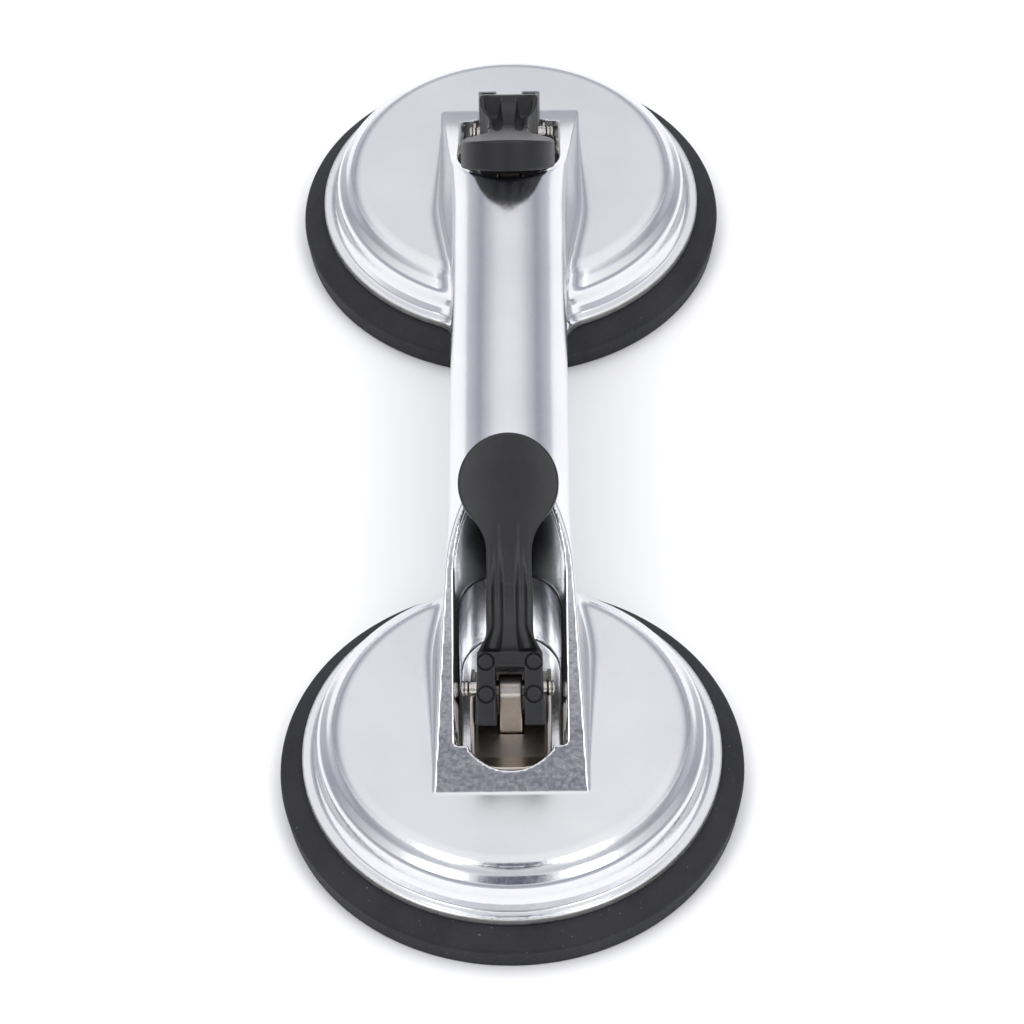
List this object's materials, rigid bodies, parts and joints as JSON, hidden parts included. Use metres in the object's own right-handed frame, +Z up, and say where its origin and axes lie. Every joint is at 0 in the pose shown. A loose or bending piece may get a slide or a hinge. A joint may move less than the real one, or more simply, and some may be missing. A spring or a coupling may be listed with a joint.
{
  "type": "vacuum suction lifter",
  "caption": "Hand-held vacuum lifter: cast handle joining rubber suction cups, each with a pull link, return spring, pivot pin and flip cam lever.",
  "frame": {"origin": "on the surface the pads rest on, midway between the two cup centres", "axes": "+Z up out of the surface, +Y along the handle from the front cup to the rear cup, +X to the right of someone looking along +Y"},
  "size_m": [0.1218, 0.3292, 0.0815],
  "materials": {
    "polished_aluminium": "polished die-cast aluminium",
    "pad_rubber": "matt moulded rubber",
    "lever_plastic": "moulded black nylon, semi-matt",
    "nickel": "bright nickel plating",
    "pin_steel": "rolled, nickel plated",
    "steel": "zinc plated",
    "spring_steel": "drawn wire"
  },
  "bodies": {
    "root": {"lifter_body": "polished_aluminium", "front_wear_plate": "nickel", "front_spring_washer": "steel", "front_return_spring": "spring_steel", "rear_wear_plate": "nickel", "rear_spring_washer": "steel", "rear_return_spring": "spring_steel"},
    "front_pull": {"front_rubber_pad": "pad_rubber", "front_pad_plate": "steel", "front_pull_link": "nickel", "front_link_rivets": "steel", "front_spring_cup": "steel", "front_pivot_pin": "pin_steel"},
    "front_lever": {"front_lever": "lever_plastic"},
    "rear_pull": {"rear_rubber_pad": "pad_rubber", "rear_pad_plate": "steel", "rear_pull_link": "nickel", "rear_link_rivets": "steel", "rear_spring_cup": "steel", "rear_pivot_pin": "pin_steel"},
    "rear_lever": {"rear_lever": "lever_plastic"}
  },
  "joints": [
    {"name": "front_pad_slide", "type": "slide", "parent": "root", "child": "front_pull", "axis": [0, 0, 1], "range_m": [-0.0042, 0], "deforming": ["front_return_spring"]},
    {"name": "front_lever_hinge", "type": "hinge", "parent": "front_pull", "child": "front_lever", "pos_m": [0, -0.10375, 0.038], "axis": [1, 0, 0], "range_deg": [0, 52]},
    {"name": "rear_pad_slide", "type": "slide", "parent": "root", "child": "rear_pull", "axis": [0, 0, 1], "range_m": [-0.0042, 0], "deforming": ["rear_return_spring"]},
    {"name": "rear_lever_hinge", "type": "hinge", "parent": "rear_pull", "child": "rear_lever", "pos_m": [0, 0.10375, 0.038], "axis": [-1, 0, 0], "range_deg": [0, 52]}
  ],
  "couplings": [
    {"joint": "front_pad_slide", "follows": "front_lever_hinge", "m_per_rad": -0.004627},
    {"joint": "rear_pad_slide", "follows": "rear_lever_hinge", "m_per_rad": -0.004627}
  ]
}
